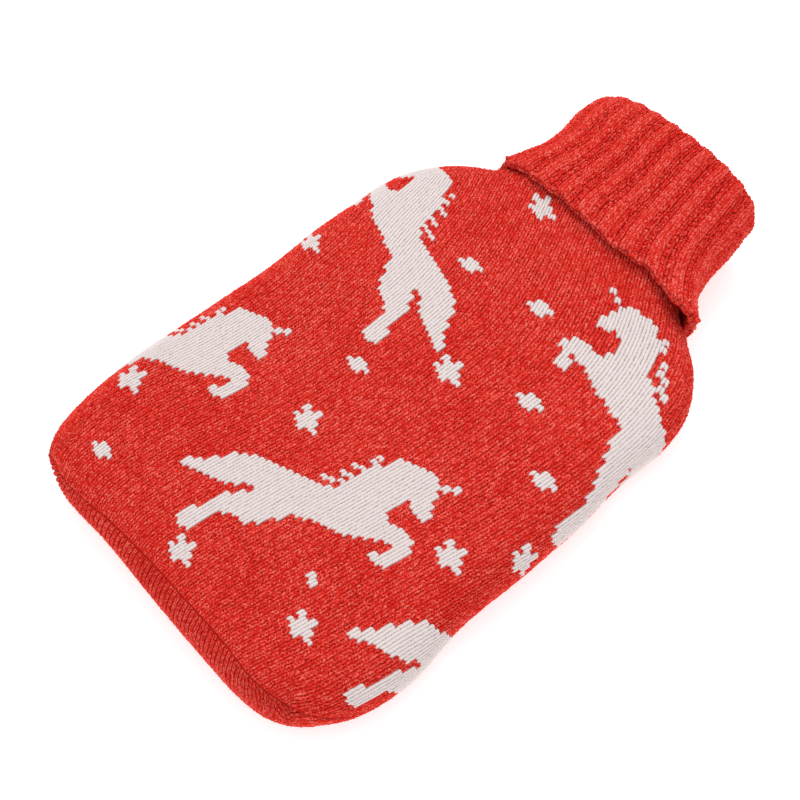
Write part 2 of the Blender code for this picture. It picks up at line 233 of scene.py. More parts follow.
def panel_sheet(front, depths, material, name, side=72, base=42, belt_rows=14):
    """A closed sheet between two depths under the cover's outer face.

    Round the edge a point stands at angle a over the outline: x, y = outline - normal (r - s cos a)
    and z = lift + r + s sin a, with s = r - depth. A ladder of straight rungs fills the middle.
    """
    signed = np.concatenate([-np.linspace(corner_at, reach_at, side + 1)[::-1],
                             np.linspace(-corner_at, corner_at, base + 1)[1:-1],
                             np.linspace(corner_at, reach_at, side + 1)])
    points, normals, radius, lift, seam, width = stations(signed)
    sign = 1 if front else -1
    seam = seam if front else seam - SEAM_GAP / radius
    skins = []
    for depth in depths:
        small = radius - depth
        turn = seam + np.linspace(0, 1, belt_rows + 1)[:, None] * (sign * np.pi / 2 - seam)
        belt = points - normals * (radius - small * np.cos(turn))[..., None]
        height = lift + radius + small * np.sin(turn)
        rise = np.clip(np.sin(turn), 0, 1) * front
        height = height + rise * crown_height(belt[..., 0], belt[..., 1], width)
        belt = np.dstack([belt, height])
        left, right = belt[-1, :side], belt[-1, ::-1][:side]
        share = np.linspace(0, 1, base + 1)[None, 1:-1, None]
        ladder = left[:, None] * (1 - share) + right[:, None] * share
        ladder[..., 2] = (lift + radius + sign * small)[:side, None]
        if front:
            ladder[..., 2] += crown_height(ladder[..., 0], ladder[..., 1], width[:side, None])
        skins.append(np.vstack([belt.reshape(-1, 3), ladder.reshape(-1, 3)]))
    ring = np.arange(belt.shape[0] * belt.shape[1]).reshape(belt.shape[:2])
    rungs = ring.size + np.arange(side * (base - 1)).reshape(side, base - 1)
    rungs = np.hstack([ring[-1, :side, None], rungs, ring[-1, ::-1][:side, None]])
    rungs = np.vstack([rungs, ring[-1, side:side + base + 1]])
    faces = np.vstack([grid_faces(ring), grid_faces(rungs)[:, ::-1]])
    edge = np.concatenate([ring[0], ring[1:, -1], rungs[0, ::-1][1:], ring[1:-1, 0][::-1]])
    count, after = len(skins[0]), np.roll(edge, -1)
    rim = np.stack([edge, edge + count, after + count, after], 1)
    faces = np.vstack([faces, faces[:, ::-1] + count, rim])[:, ::sign]
    return piece(name, np.vstack(skins), faces.tolist(), material)


# The shaded inside of wool loops: deep red, no gloss, mottled at the loops' own 1.5 mm.
loop_shade, tree, out = new_material("wool_loops_in_shade")
place = node(tree, "ShaderNodeTexCoord")
mottle = node(tree, "ShaderNodeTexNoise", {"Scale": 700.0, "Detail": 2.0},
              {"Vector": place.outputs["Object"]})
colours = node(tree, "ShaderNodeValToRGB", {}, {"Fac": mottle.outputs["Fac"]})
colours.color_ramp.elements[0].color = linear("#b0190f")
colours.color_ramp.elements[1].color = linear("#d63226")
relief = node(tree, "ShaderNodeBump", {"Strength": 0.6, "Distance": 0.0006},
              {"Height": mottle.outputs["Fac"]})
shader = node(tree, "ShaderNodeBsdfPrincipled", {"Roughness": 1.0, "Specular IOR Level": 0.1},
              {"Base Color": colours.outputs["Color"], "Normal": relief.outputs["Normal"]})
tree.links.new(shader.outputs[0], out.inputs["Surface"])

front_ground = panel_sheet(True, (GROUND_DEPTH, WALL), loop_shade, "front_ground")


# --- Front panel: the knitted stitches --------------------------------------------------------
# Every stitch is a small hooked loop with a round head towards the neck and two arms that thin
# towards the base. Red chenille wool carries the ground, off-white wool the leaping horses and
# the stars, which stand a little proud.
WALE = 0.00335             # one column of stitches
PAST_SEAM = 0.0005         # stitches whose middle is up to this far past the seam are kept
NECK_CLEAR = 0.0030        # the last row of stitches stays this far below the neck's edge
LEAST_Z = 0.00005          # no stitch goes lower than this over the surface the cover lies on
# The courses, rows of stitches across, are closer at the base and stretched at the shoulders.
#            course,   y
COURSES = [(-30, -0.2160), (0, -0.1760), (30, -0.1340), (60, -0.0885), (100, -0.0265),
           (140, 0.0365), (165, 0.0790), (190, 0.1225), (200, 0.1400)]
# The knit is turned on the bottle: its columns' lean in degrees towards +X on each side, and
# how steeply its courses climb towards +X there.
#               y,  lean at x -50 mm, +50 mm,  climb at x -50 mm, +50 mm
SKEW = [(-0.215, -12, 8, -0.04, -0.04), (-0.172, -8, 8, -0.04, -0.05), (-0.150, 0, 11, -0.05, -0.06),
        (-0.135, 7, 10, -0.06, -0.07), (-0.120, 11, 11, -0.08, -0.08), (-0.105, 11, 9, -0.08, -0.08),
        (-0.090, 10, 11, -0.08, -0.08), (-0.075, 6, 9, -0.07, -0.08), (-0.060, 5, 10, -0.06, -0.08),
        (-0.045, 2, 8, -0.04, -0.07), (-0.030, -2, 7, -0.02, -0.05), (-0.015, -3, 4, 0.00, -0.02),
        (0.000, -2, 3, 0.02, 0.02), (0.015, -7, -1, 0.05, 0.07), (0.030, -11, -10, 0.07, 0.14),
        (0.045, -10, -20, 0.08, 0.24), (0.060, -9, -25, 0.10, 0.32), (0.075, -11, -26, 0.12, 0.34),
        (0.090, -19, -25, 0.16, 0.32), (0.105, -20, -24, 0.18, 0.30), (0.140, -20, -24, 0.18, 0.30)]
SKEW_X = 0.05              # the table's two columns stand at -SKEW_X and +SKEW_X
PLAN_STEP = 0.0015
PLAN_X, PLAN_Y = np.arange(-0.144, 0.1441, PLAN_STEP), np.arange(-0.204, 0.1261, PLAN_STEP)
EDGE_STATIONS = 901        # places round the outline, each of them looked up from the plan
LEAST_DRIFT = 0.2          # of the edge line's own length to the outline's, at sharp bends
BLOCKS = 90                # the plan's points are looked up in this many lots, to save memory


def knit_plan(wale, course):
    """Flat place of a point of the knit, numbered in wales and courses. x is wale times width,
    shifted by the running sum of tan(lean). y is the course's table value plus the sum of the
    climb over x, left x + (right - left) (x^2 / (4 SKEW_X) + x / 2). Lean and climb change evenly
    between their two columns."""
    courses, skew = smooth_curve(COURSES, 8), smooth_curve(SKEW, 8)
    y = np.interp(course, courses[:, 0], courses[:, 1])
    slopes = np.tan(np.radians(skew[:, 1:3]))
    steps = np.diff(skew[:, 0])[:, None] * (slopes[1:] + slopes[:-1]) / 2
    shift = np.vstack([[0, 0], np.cumsum(steps, axis=0)])
    shift = shift - [np.interp(0, skew[:, 0], shift[:, k]) for k in (0, 1)]
    left, right = (np.interp(y, skew[:, 0], shift[:, k]) for k in (0, 1))
    x = wale * WALE
    share = (x + SKEW_X) / (2 * SKEW_X)
    x = x + left * (1 - share) + right * share
    left, right = (np.interp(y, skew[:, 0], skew[:, k]) for k in (3, 4))
    return x, y + left * x + (right - left) * (x * x / (4 * SKEW_X) + x / 2)


def rolled_plan(front):
    """Carries a flat fabric over the filled shape. Returns fields on the plan's grid.

    Inside the line where the rounded edge begins, a plan point keeps its x and y. Outside it by a
    distance a, it goes to the angle a / r round the edge: x, y = line + normal r sin(a / r), and
    z = lift + r + r cos(a / r) over the front. Fields: place, normal, way out, room to the seam.
    """
    signed = np.linspace(-reach_at, reach_at, EDGE_STATIONS)
    points, normals, radius, lift, seam, width = stations(signed)
    line = points - normals * radius[:, None]
    drift = np.gradient(line, signed, axis=0)
    speed = np.maximum(np.linalg.norm(drift, axis=1), LEAST_DRIFT)
    plan = np.stack(np.meshgrid(PLAN_X, PLAN_Y), -1)
    flat = plan.reshape(-1, 2)
    near = np.concatenate([((block[:, None] - line[None]) ** 2).sum(-1).argmin(1)
                           for block in np.array_split(flat, BLOCKS)])
    step = signed[1] - signed[0]
    slide = ((flat - line[near]) * drift[near]).sum(1) / speed[near] ** 2
    at = np.clip(signed[near] + np.clip(slide, -step, step), -reach_at, reach_at)
    table = np.column_stack([line, normals, radius, lift, seam, width])
    table = np.stack([np.interp(at, signed, column) for column in table.T], 1)
    line_at, out_at, radius_at, lift_at, seam_at, width_at = np.split(table, [2, 4, 5, 6, 7], axis=1)
    away = ((flat - line_at) * out_at).sum(1, keepdims=True)
    turn = np.clip(away, 0, None) / radius_at
    xy = np.where(away > 0, line_at + out_at * radius_at * np.sin(turn), flat)
    right = signed > corner_at
    rows = np.column_stack([line[right, 1], (lift + 2 * radius)[right], width[right], lift[right]])
    top, row_width, low = (np.interp(flat[:, 1:], rows[:, 0], rows[:, k]) for k in (1, 2, 3))
    if front:
        edge = lift_at + radius_at * (1 + np.cos(turn))
        edge = edge + np.clip(np.cos(turn), 0, 1) * crown_height(xy[:, :1], xy[:, 1:], width_at)
        z = np.where(away > 0, edge, top + crown_height(xy[:, :1], xy[:, 1:], row_width))
        room = radius_at * (np.pi / 2 - seam_at) - away
    else:
        z = np.where(away > 0, lift_at + radius_at * (1 - np.cos(turn)), low)
        room = radius_at * (np.pi / 2 + seam_at) - SEAM_GAP - away
    place = np.hstack([xy, z]).reshape(*plan.shape[:2], 3)
    normal = np.cross(np.gradient(place, axis=1), np.gradient(place, axis=0))
    normal *= (1 if front else -1) / np.maximum(np.linalg.norm(normal, axis=2), 1e-12)[..., None]
    return np.dstack([place, normal, out_at.reshape(plan.shape), room.reshape(plan.shape[:2])])


def bilinear(fields, column, row):
    """Values between the points of a grid, from the four round each place."""
    column = np.clip(column, 0, fields.shape[1] - 1.001)
    row = np.clip(row, 0, fields.shape[0] - 1.001)
    i, j = column.astype(int), row.astype(int)
    s, t = (column - i)[..., None], (row - j)[..., None]
    return ((fields[j, i] * (1 - s) + fields[j, i + 1] * s) * (1 - t)
            + (fields[j + 1, i] * (1 - s) + fields[j + 1, i + 1] * s) * t)


def on_plan(fields, x, y):
    return bilinear(fields, (x - PLAN_X[0]) / PLAN_STEP, (y - PLAN_Y[0]) / PLAN_STEP)


# One arm of a stitch: its spine from the head to the tail, across in wales, along in courses
# and up in millimetres, with its half thickness across and up in millimetres.
#             across, along,    up,  wide, high
RED_ARM = [(0.040, 1.30, -0.60, 0.00, 0.00),
           (0.170, 0.70, -0.30, 0.91, 0.60),
           (0.300, -0.25, -0.54, 0.80, 0.54),
           (0.440, -1.25, -1.00, 0.00, 0.00)]
WHITE_ARM = [(0.130, 1.50, -0.25, 0.00, 0.00),
             (0.230, 0.85, 0.05, 1.14, 0.50),
             (0.285, -0.35, -0.10, 1.08, 0.45),
             (0.360, -1.30, -0.65, 0.00, 0.00)]
ARM_MIDDLE = 0.26          # of an arm from its column's middle, in wales
ARM_POINTS = 8             # of one arm's mesh
# Standard deviations from arm to arm: size, how much of it counts along, and the place across in
# wales, along in courses and up in metres.
SIZE_VARIES, ALONG_SHARE = 0.10, 0.35
PLACE_VARIES = [0.035, 0.10, 0.00010]
SINK_SLOPE, SINK_MOST = 0.6, 0.0004        # how a stitch moved in from the seam sinks


def arm_points(arm):
    """Eight points of a three-sided spindle: its two tips, and a triangle round each middle row.
    Returns (across in wales, along in courses, up in metres)."""
    arm = np.asarray(arm)
    ring = np.array([(1, -0.2), (0, 1), (-1, -0.2)])
    middle = arm[1:3, None, :3] + np.stack([ring[None, :, 0] * arm[1:3, 3:4] * 0.001 / WALE,
                                            np.zeros((2, 3)), ring[None, :, 1] * arm[1:3, 4:5]], -1)
    points = np.vstack([arm[:1, :3], middle.reshape(6, 3), arm[3:, :3]])
    return points * [1, 1, 0.001]


def arm_faces(count, flipped):
    """Faces of count spindles, all outwards: three triangles at each tip and three quads between."""
    a = np.arange(3)
    b = (a + 1) % 3
    head = np.stack([np.zeros(3, int), 1 + a, 1 + b], 1)
    tail = np.stack([np.full(3, 7), 4 + b, 4 + a], 1)
    body = np.stack([1 + a, 4 + a, 4 + b, 1 + b], 1)
    start = (np.arange(count) * ARM_POINTS)[:, None, None]
    turned = np.asarray(flipped)[:, None, None]
    sets = []
    for faces in (head, tail, body):
        whole = start + faces
        sets += np.where(turned, whole[..., ::-1], whole).reshape(-1, faces.shape[1]).tolist()
    return sets


def knit_arms(fields, wale, course, shape, wild=1.0):
    """Both arms of every stitch, carried onto the filled shape: (stitches, 2, 8, 3) in metres.

    The plan place is moved in from the seam where it runs past it, and sinks there. wild scales
    the arms' random size, place and height, as hand-wound wool has.
    """
    count = len(wale)
    base = np.stack([shape, shape * [-1, 1, 1]])[None]
    jitter = rng.normal(0, 1, (count, 2, 1, 4)) * wild
    centre = np.array([[[ARM_MIDDLE, 0, 0]], [[-ARM_MIDDLE, 0, 0]]])
    grown = centre + (base - centre) * (1 + SIZE_VARIES * jitter[..., :1] * [1, ALONG_SHARE, 1])
    grown = grown + jitter[..., 1:] * PLACE_VARIES
    u, v = grown[..., 0] + wale[:, None, None], grown[..., 1] + course[:, None, None]
    x, y = knit_plan(u, v)
    at = on_plan(fields, x, y)
    over = np.clip(SEAM_MARGIN - at[..., 8], 0, None)
    at = on_plan(fields, x - at[..., 6] * over, y - at[..., 7] * over)
    up = grown[..., 2] - np.clip(over * SINK_SLOPE, 0, SINK_MOST)
    return at[..., :3] + at[..., 3:6] * up[..., None]


def stitch_piece(name, arms, material, tone):
    """A mesh of arms with its tone (one value an arm), depth (0 sunk to 1 proud), which the wool's colours
    use for painted shade, and bake map.
    The arms' undersides, every third face, are flat, so their tops shade as round wool. In the
    map each arm has its own small square, in rows."""
    count = arms.shape[0] * 2
    points = arms.reshape(-1, 3)
    flipped = np.arange(count) % 2 == 1
    made = piece(name, points, arm_faces(count, flipped), material)
    mesh = made.data
    mesh.polygons.foreach_set("use_smooth", np.tile([True, True, False], 3 * count))
    # Height of each point in its arm: the wool's colours paint the low points darker, as painted shade.
    high = np.array([0.25, 0.65, 1.0, 0.65, 0.5, 0.9, 0.5, 0.0])       # of an arm's eight points
    for label, values in (("tone", np.repeat(tone.reshape(-1), ARM_POINTS)),
                          ("depth", np.tile(high, count))):
        layer = mesh.attributes.new(label, "FLOAT", "POINT")
        layer.data.foreach_set("value", values.astype(np.float32))
    side = int(np.ceil(np.sqrt(count)))
    cell = np.arange(count)
    corner = np.stack([cell % side, cell // side], 1)[:, None]
    local = np.array([(0.5, 0.95), (0.9, 0.7), (0.5, 0.7), (0.1, 0.7),
                      (0.9, 0.35), (0.5, 0.35), (0.1, 0.35), (0.5, 0.05)])
    flat = ((corner + local) / side).reshape(-1, 2)
    loops = np.empty(len(mesh.loops), int)
    mesh.loops.foreach_get("vertex_index", loops)
    bake_map = mesh.uv_layers.new(name="OFBake")
    bake_map.data.foreach_set("uv", flat[loops].reshape(-1).astype(np.float32))
    return made


# The two-colour chart. A leaping horse with one horn, facing +X, drawn as tapering strokes in
# millimetres of flat knit, and loose single stitches for its mane and horn.
#          from x,  y, radius,  to x,  y, radius
HORSE = [(-47, -31.5, 1.0, -38, -24.5, 3.4),
         (-38, -24.5, 3.4, -29, -15, 8.0),
         (-28, -12, 7.0, -10, -2, 6.5),
         (-10, -3, 7.0, 5, 2.5, 8.6),
         (5, 2.5, 8.6, 19, 13.5, 11.8),
         (18, 18, 12.4, 15.4, 31, 10.0),
         (15.4, 31, 10.0, 17, 39, 9.6),
         (17, 39, 9.6, 25, 44.5, 7.4),
         (25, 44.5, 7.4, 36.5, 37, 2.6),
         (-2, -5, 8.5, -7.5, -20, 7.8),
         (-12, -23, 6.5, -17.5, -31, 4.0),
         (-17.5, -31, 4.0, -19.2, -46, 3.9),
         (-19.5, -46, 3.9, -22.5, -45, 2.4),
         (27, 14.5, 6.6, 43, 23.5, 3.0),
         (45, 22, 3.0, 46, 11, 3.1),
         (45, 9.5, 2.8, 41.5, 8.3, 2.0)]
LOOSE = [(-2, 14), (1.5, 16), (4.5, 18), (0, 22), (3.5, 23.5), (1, 28.5), (4.5, 30), (4, 35),
         (3.5, 39.5), (32, 51), (32, 52.7), (35.2, 54.2), (35.2, 55.8)]
# The same horse where the neck pulls the knit askew, at the right shoulder.
PULLED_HORSE = [(-48, -20, 1.0, -33, -4, 7.0),
                (-33, -4, 7.0, -18, 6, 6.5),
                (-18, 6, 6.5, -9, 8, 7.5),
                (-10, 7.5, 7.5, 2, 12, 6.8),
                (2, 12, 6.8, 14.5, 18.5, 9.2),
                (17, 20, 9.6, 15.5, 31, 9.0),
                (15.5, 31, 9.0, 17.8, 36.5, 7.8),
                (17.8, 36.5, 7.8, 25, 40.5, 5.8),
                (25, 40.5, 5.8, 36.6, 34.4, 1.7),
                (-6, 3, 8.5, -10.5, -6, 6.5),
                (-13, -9, 6.2, -18.5, -16, 6.1),
                (-18.5, -16, 6.1, -21.5, -32, 7.2),
                (26, 17.5, 4.0, 41.5, 22, 2.5),
                (43, 19.5, 2.6, 40.2, 13, 2.6),
                (40.2, 13, 2.6, 37.2, 12, 1.9)]
PULLED_LOOSE = [(-4.5, 21.5), (2.5, 21.5), (-1, 23), (0, 27), (4, 28), (2, 31.5), (5.5, 35),
                (5.5, 39.5), (30.5, 47), (34, 50)]
CHART_WALE, CHART_COURSE = 3.2, 1.55       # millimetres a stitch takes in the horses' strokes
LOOSE_REACH = 0.8                          # how near along a loose stitch's place counts
# Horses on the panel: wale and course of the middle, 1 or -1 for the direction, stretch along.
HORSES = [(8, 53, 1, 1.0, HORSE, LOOSE),
          (-28, 48, 1, 1.0, HORSE, LOOSE),
          (43, 64, 1, 1.2, HORSE, LOOSE),
          (-14, 135, -1, 1.07, HORSE, LOOSE),
          (26, 127, -1, 1.0, PULLED_HORSE, PULLED_LOOSE)]
# Stars, charted stitch by stitch.
STARS = {"large": ["..#..", "#.#..", "###..", ".###.", ".###.", "#####", ".##..", "..#.."],
         "middle": [".##.", ".###", "###.", ".##."],
         "small": ["#.", "##", ".#"]}
#               size, wale, course of its middle
SCATTERED = [("large", 0, 173), ("middle", -5, 144), ("middle", 7, 144), ("large", 4, 111),
             ("middle", 15, 120), ("middle", 25, 107), ("middle", -5, 92), ("large", -27, 114),
             ("large", -2, 69), ("large", 27, 75), ("large", 33, 91), ("large", -23, 36),
             ("middle", -15, 16), ("large", 6, 16), ("small", 20, 41), ("large", 25, 30)]


def in_white(wale, course):
    """Whether a stitch of the chart is off-white: inside a stroke (nearer to its line than the
    radius there), or one of the loose stitches or a star's."""
    white = np.zeros(wale.shape, bool)
    for middle, row, way, stretch, strokes, loose in HORSES:
        x = (wale - middle) * CHART_WALE * way
        y = (course - row) * CHART_COURSE / stretch
        for x0, y0, r0, x1, y1, r1 in strokes:
            share = ((x - x0) * (x1 - x0) + (y - y0) * (y1 - y0)) / ((x1 - x0) ** 2 + (y1 - y0) ** 2)
            share = np.clip(share, 0, 1)
            far = np.hypot(x - x0 - share * (x1 - x0), y - y0 - share * (y1 - y0))
            white |= far < r0 + share * (r1 - r0)
        for x0, y0 in loose:
            white |= (np.abs(x - x0) < CHART_WALE / 2) & (np.abs(y - y0) < LOOSE_REACH)
    for size, middle, row in SCATTERED:
        chart = np.array([list(line) for line in STARS[size]]) == "#"
        i, j = wale - middle + chart.shape[1] // 2, row - course + chart.shape[0] // 2
        rows, columns = chart.shape
        inside = (i >= 0) & (i < columns) & (j >= 0) & (j < rows)
        white |= inside & chart[np.clip(j, 0, rows - 1), np.clip(i, 0, columns - 1)]
    return white


front_fields = rolled_plan(True)
FRONT_WALES, FRONT_COURSES = np.arange(-58, 59), np.arange(-24, 201)
wale, course = (a.reshape(-1) for a in np.meshgrid(FRONT_WALES, FRONT_COURSES))
x, y = knit_plan(wale + 0.0, course + 0.0)
inside = (on_plan(front_fields, x, y)[..., 8] > -PAST_SEAM) & (y < NECK_Y - NECK_CLEAR)
wale, course = wale[inside], course[inside]
white = in_white(wale, course)

# Chenille wool, red: a velvety pile with no gloss, so it glows at grazing angles. Its colour breaks into
# bright specks and dark pits under a millimetre: the specks are painted highlights of the fuzz and the pits
# are painted shade, laid at random by the same noise that bumps the pile. The dye drifts over 30 mm.
chenille, tree, out = new_material("red_chenille_wool")
place = node(tree, "ShaderNodeTexCoord")
tone = node(tree, "ShaderNodeAttribute", {"attribute_name": "tone"})
depth = node(tree, "ShaderNodeAttribute", {"attribute_name": "depth"})
pile_with_painted_light = node(tree, "ShaderNodeTexNoise", {"Scale": 1500.0, "Detail": 2.0, "Roughness": 0.50},
            {"Vector": place.outputs["Object"]})
drift = node(tree, "ShaderNodeTexNoise", {"Scale": 32.0, "Detail": 2.0},
             {"Vector": place.outputs["Object"]})
# Brightness: pile noise + 0.20 depth + 0.05 + 0.045 tone + 0.12 drift. The depth term is painted shade,
# darker on the sunk parts of each arm.
level = node(tree, "ShaderNodeMath", {"operation": "MULTIPLY_ADD", 1: 0.20, 2: 0.05},
             {0: depth.outputs["Fac"]})
level = node(tree, "ShaderNodeMath", {"operation": "ADD"},
             {0: level.outputs[0], 1: pile_with_painted_light.outputs["Fac"]})
for weight, source in ((0.045, tone), (0.12, drift)):
    level = node(tree, "ShaderNodeMath", {"operation": "MULTIPLY_ADD", 1: weight},
                 {0: source.outputs["Fac"], 2: level.outputs[0]})
colours = node(tree, "ShaderNodeValToRGB", {}, {"Fac": level.outputs[0]})
# The ramp's dark end is painted shade and its pinkish top is painted highlight, around the wool's own red
# in the middle.
ramp = colours.color_ramp
ramp.elements[0].position, ramp.elements[0].color = 0.46, linear("#c3140e")
ramp.elements[1].position, ramp.elements[1].color = 0.98, linear("#f97b6d")
ramp.elements.new(0.66).color = linear("#d51e16")
ramp.elements.new(0.80).color = linear("#e4392e")
relief = node(tree, "ShaderNodeBump", {"Strength": 0.7, "Distance": 0.0005},
              {"Height": pile_with_painted_light.outputs["Fac"]})
shader = node(tree, "ShaderNodeBsdfPrincipled",
              {"Roughness": 0.95, "Specular IOR Level": 0.1, "Sheen Weight": 0.08,
               "Sheen Roughness": 0.45, "Sheen Tint": linear("#ff8d82")},
              {"Base Color": colours.outputs["Color"], "Normal": relief.outputs["Normal"]})
tree.links.new(shader.outputs[0], out.inputs["Surface"])

# Plied wool, undyed: smoother and tighter than the chenille, a warm off-white mottled with grey at 0.5 mm,
# with painted shade making the sunk parts of each arm greyer.
plied, tree, out = new_material("off_white_plied_wool")
place = node(tree, "ShaderNodeTexCoord")
tone = node(tree, "ShaderNodeAttribute", {"attribute_name": "tone"})
depth = node(tree, "ShaderNodeAttribute", {"attribute_name": "depth"})
fibre = node(tree, "ShaderNodeTexNoise", {"Scale": 1900.0, "Detail": 2.0},
             {"Vector": place.outputs["Object"]})
# Brightness: fibre + 0.5 depth + 0.05 tone. The depth term is painted shade, greyer where an arm sinks.
level = node(tree, "ShaderNodeMath", {"operation": "MULTIPLY_ADD", 1: 0.5},
             {0: depth.outputs["Fac"], 2: fibre.outputs["Fac"]})
level = node(tree, "ShaderNodeMath", {"operation": "MULTIPLY_ADD", 1: 0.05},
             {0: tone.outputs["Fac"], 2: level.outputs[0]})
colours = node(tree, "ShaderNodeValToRGB", {}, {"Fac": level.outputs[0]})
ramp = colours.color_ramp
ramp.elements[0].position, ramp.elements[0].color = 0.45, linear("#d1c3c0")
ramp.elements[1].position, ramp.elements[1].color = 0.95, linear("#e2d6d4")
relief = node(tree, "ShaderNodeBump", {"Strength": 0.4, "Distance": 0.0003},
              {"Height": fibre.outputs["Fac"]})
shader = node(tree, "ShaderNodeBsdfPrincipled",
              {"Roughness": 0.85, "Specular IOR Level": 0.2, "Sheen Weight": 0.12, "Sheen Roughness": 0.5},
              {"Base Color": colours.outputs["Color"], "Normal": relief.outputs["Normal"]})
tree.links.new(shader.outputs[0], out.inputs["Surface"])

red_arms = knit_arms(front_fields, wale[~white], course[~white], arm_points(RED_ARM))
white_arms = knit_arms(front_fields, wale[white], course[white], arm_points(WHITE_ARM), wild=0.5)
front_stitches = []
for number, part in enumerate(np.array_split(np.arange(len(red_arms)), 3)):
    tones = rng.normal(0, 1, (len(part), 2))
    front_stitches.append(stitch_piece(f"front_red_stitches_{number + 1}", red_arms[part], chenille, tones))
front_stitches.append(stitch_piece("front_white_stitches", white_arms, plied,
                                   rng.normal(0, 1, (len(white_arms), 2))))
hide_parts("front_panel")
for made in [front_ground] + front_stitches:
    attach(made, "root")


# --- Back panel -------------------------------------------------------------------------------
# Plain red knit. It lies flat under the bottle and turns up round the base to the closing seam,
# where its columns of stitches run up the edge as a plain band.
# Its wool is wound thinner and stands higher, so a groove shows between the columns.
BACK_ARM = [(0.030, 1.30, -0.55, 0.00, 0.00),
            (0.130, 0.70, -0.25, 0.76, 0.60),
            (0.240, -0.30, -0.52, 0.66, 0.54),
            (0.340, -1.25, -1.10, 0.00, 0.00)]
BACK_GROUND_DEPTH = 0.0007         # deeper than the front's, which darkens the grooves
back_ground = panel_sheet(False, (BACK_GROUND_DEPTH, WALL), loop_shade, "back_ground")
back_fields = rolled_plan(False)
BACK_WALES, BACK_COURSES = np.arange(-56, 57), np.arange(-34, 201)
wale, course = (a.reshape(-1) for a in np.meshgrid(BACK_WALES, BACK_COURSES))
x, y = knit_plan(wale + 0.0, course + 0.0)
inside = (on_plan(back_fields, x, y)[..., 8] > -PAST_SEAM) & (y < NECK_Y - NECK_CLEAR)
wale, course = wale[inside], course[inside]
back_arms = knit_arms(back_fields, wale, course, arm_points(BACK_ARM))
back_arms[..., 2] = np.maximum(back_arms[..., 2], LEAST_Z)
back_stitches = []
for number, part in enumerate(np.array_split(np.arange(len(back_arms)), 2)):
    tones = rng.normal(0, 1, (len(part), 2))
    back_stitches.append(stitch_piece(f"back_stitches_{number + 1}", back_arms[part], chenille, tones))
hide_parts("back_panel")
for made in [back_ground] + back_stitches:
    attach(made, "root")


# --- Collar -----------------------------------------------------------------------------------
# A roll-neck in two-by-two rib, knitted on at the neck and turned down over itself. Two raised
# columns of stitches stand between two sunk ones, whose purl bumps lie across.
#               y, half width, half height, centre x, centre z, exponent
TURNED_DOWN = [(0.0903, 0.0723, 0.0240, 0.0027, 0.0268, 3.5),
               (0.0983, 0.0658, 0.0240, 0.0014, 0.0268, 3.5),
               (0.1063, 0.0610, 0.0240, -0.0004, 0.0268, 3.5),
               (0.1143, 0.0572, 0.0242, -0.0010, 0.0268, 3.3),
               (0.1233, 0.0546, 0.0242, -0.0012, 0.0266, 3.0),
               (0.1323, 0.0534, 0.0242, -0.0020, 0.0266, 2.7),
               (0.1423, 0.0538, 0.0246, -0.0030, 0.0270, 2.5),
               (0.1523, 0.0542, 0.0252, -0.0046, 0.0276, 2.4),
               (0.1613, 0.0530, 0.0252, -0.0054, 0.0278, 2.4)]
TUBE = [(NECK_Y + SEAM_GAP, 0.0478, 0.0186, 0.0000, 0.0266, 3.0),
        (0.1333, 0.0468, 0.0184, -0.0016, 0.0266, 2.7),
        (0.1473, 0.0464, 0.0186, -0.0032, 0.0272, 2.5),
        (0.1613, 0.0460, 0.0190, -0.0054, 0.0278, 2.4)]
# The hem: angle round the section from +X over the top, in degrees, and how far down it comes.
HEM = [(-90, 0.1013), (-30, 0.1003), (0, 0.0973), (40, 0.0926), (75, 0.0955), (105, 0.0966),
       (140, 0.0983), (180, 0.1010), (225, 0.1018), (270, 0.1013)]
FOLD_RISE, FOLD_ROUND = 0.0102, 0.8        # of the fold's top over its layers
RIBS, RIB_STEPS = 22, 12   # round the collar, and columns of points a rib
RIB_DEPTH = 0.0009         # half of a rib's height
TUBE_RIB = 0.3             # share of the ribs' height inside the tube
RIB_WALL = 0.0040          # the wall's thickness between its faces
COLLAR_GROUND_DEPTH = 0.0005
SHEET_LEAST_Z = 0.0001     # the collar's sheet goes no lower than this
HEM_WAVE = 0.0008          # how uneven the hem is
RIM_ROUND = 0.0010         # how far the hem's rim stands out past the wall
# Where the hem flares out or hugs the panel: angle round the section and spread in radians,
# and how far out.
HEM_LIFTS = [(0.62, 0.45, 0.0036), (1.60, 0.60, -0.0010), (2.70, 0.55, -0.0028)]
TUBE_ROWS, FOLD_ROWS, HEM_ROWS = 16, 12, 40


def oval(section, angle):
    """Oval section: x = centre + width |cos|^(2/n) and z = centre + height |sin|^(2/n), signed."""
    cosine, sine, power = np.cos(angle), np.sin(angle), 2 / section[..., 5]
    x = section[..., 3] + section[..., 1] * np.sign(cosine) * np.abs(cosine) ** power
    z = section[..., 4] + section[..., 2] * np.sign(sine) * np.abs(sine) ** power
    return np.stack([x, section[..., 0], z], -1)


def even_angles(section, count):
    """Angles that part the oval's edge into equal lengths."""
    fine = np.linspace(0, 2 * np.pi, 2881)
    along = arc_length(oval(np.broadcast_to(section, (fine.size, section.size)), fine))
    return np.interp(np.linspace(0, along[-1], count, endpoint=False), along, fine)


